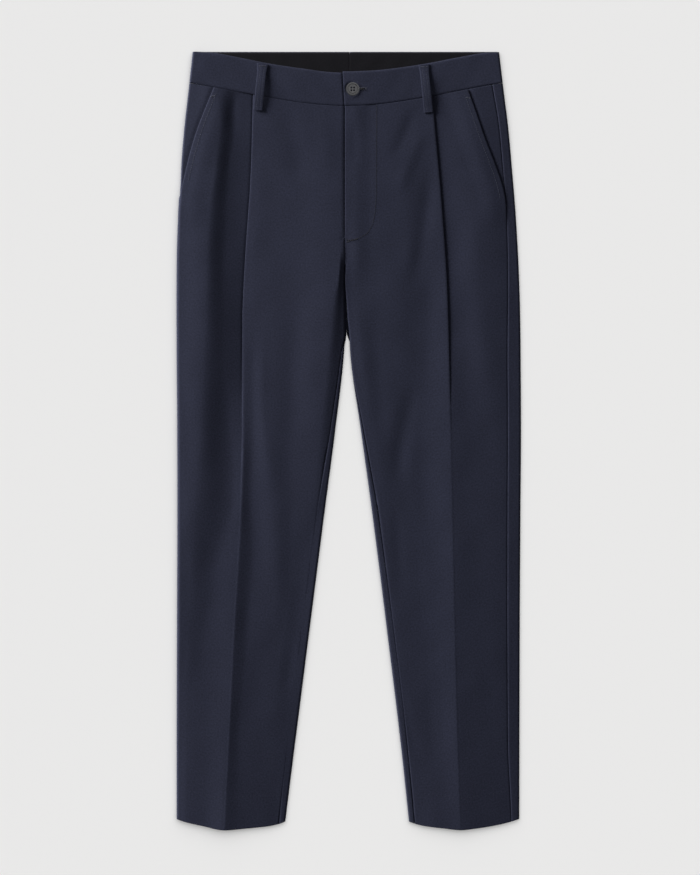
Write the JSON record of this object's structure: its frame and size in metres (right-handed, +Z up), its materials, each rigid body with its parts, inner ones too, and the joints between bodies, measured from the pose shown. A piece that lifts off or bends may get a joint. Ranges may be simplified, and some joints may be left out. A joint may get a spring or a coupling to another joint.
{
  "type": "chino trousers",
  "caption": "Navy chino trousers with a single front pleat on each leg, pressed creases, slant pockets, belt loops and a buttoned waistband, laid flat.",
  "frame": {"origin": "on the table under the middle of the garment's bounding box", "axes": "+X to the wearer's left, +Y to the waist, +Z up from the table"},
  "size_m": [0.4656, 1.0508, 0.0124],
  "materials": {
    "navy_twill": "matte brushed cotton twill",
    "black_facing": "matte lining",
    "zip_tape": "woven tape",
    "grey_button": "satin"
  },
  "bodies": {
    "root": {"front_right": "navy_twill", "front_left": "navy_twill", "back_right": "navy_twill", "back_left": "navy_twill", "pocket_facing_right": "navy_twill", "pocket_facing_left": "navy_twill", "waistband_right": "navy_twill", "waistband_left": "navy_twill", "waistband_facing_right": "black_facing", "waistband_facing_left": "black_facing", "belt_loop_front_right": "navy_twill", "belt_loop_front_left": "navy_twill", "belt_loop_back_right": "navy_twill", "belt_loop_back_left": "navy_twill", "belt_loop_back_centre": "navy_twill", "fly_zip": "zip_tape", "button": "grey_button"}
  },
  "joints": []
}
